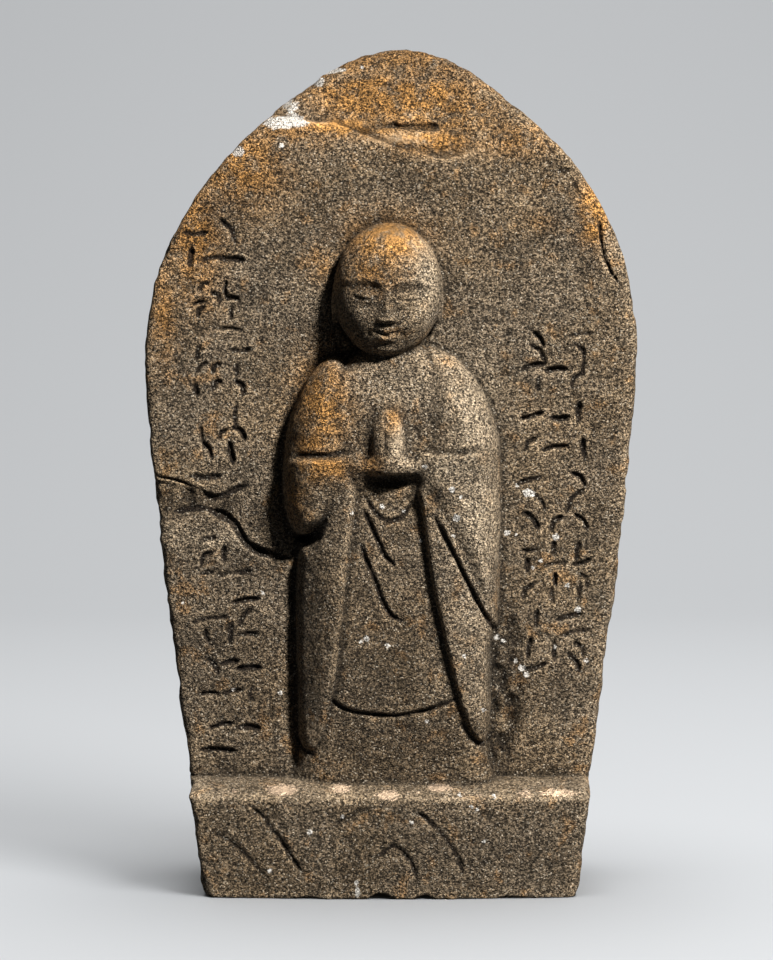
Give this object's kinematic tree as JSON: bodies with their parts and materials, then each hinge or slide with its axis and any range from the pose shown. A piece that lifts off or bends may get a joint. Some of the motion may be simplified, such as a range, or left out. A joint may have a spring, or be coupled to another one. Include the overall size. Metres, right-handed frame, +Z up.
{
  "type": "stone jizo statue",
  "caption": "Boat-shaped stone stele carved in high relief with a standing monk, hands in prayer, on a plain base band.",
  "frame": {"origin": "middle of the underside's bounding box, on the ground", "axes": "+Z up, -Y the carved front, +X the viewer's right when facing the front"},
  "size_m": [0.3498, 0.162, 0.6],
  "materials": {
    "andesite": "matte"
  },
  "bodies": {
    "root": {"stele": "andesite"}
  },
  "joints": []
}
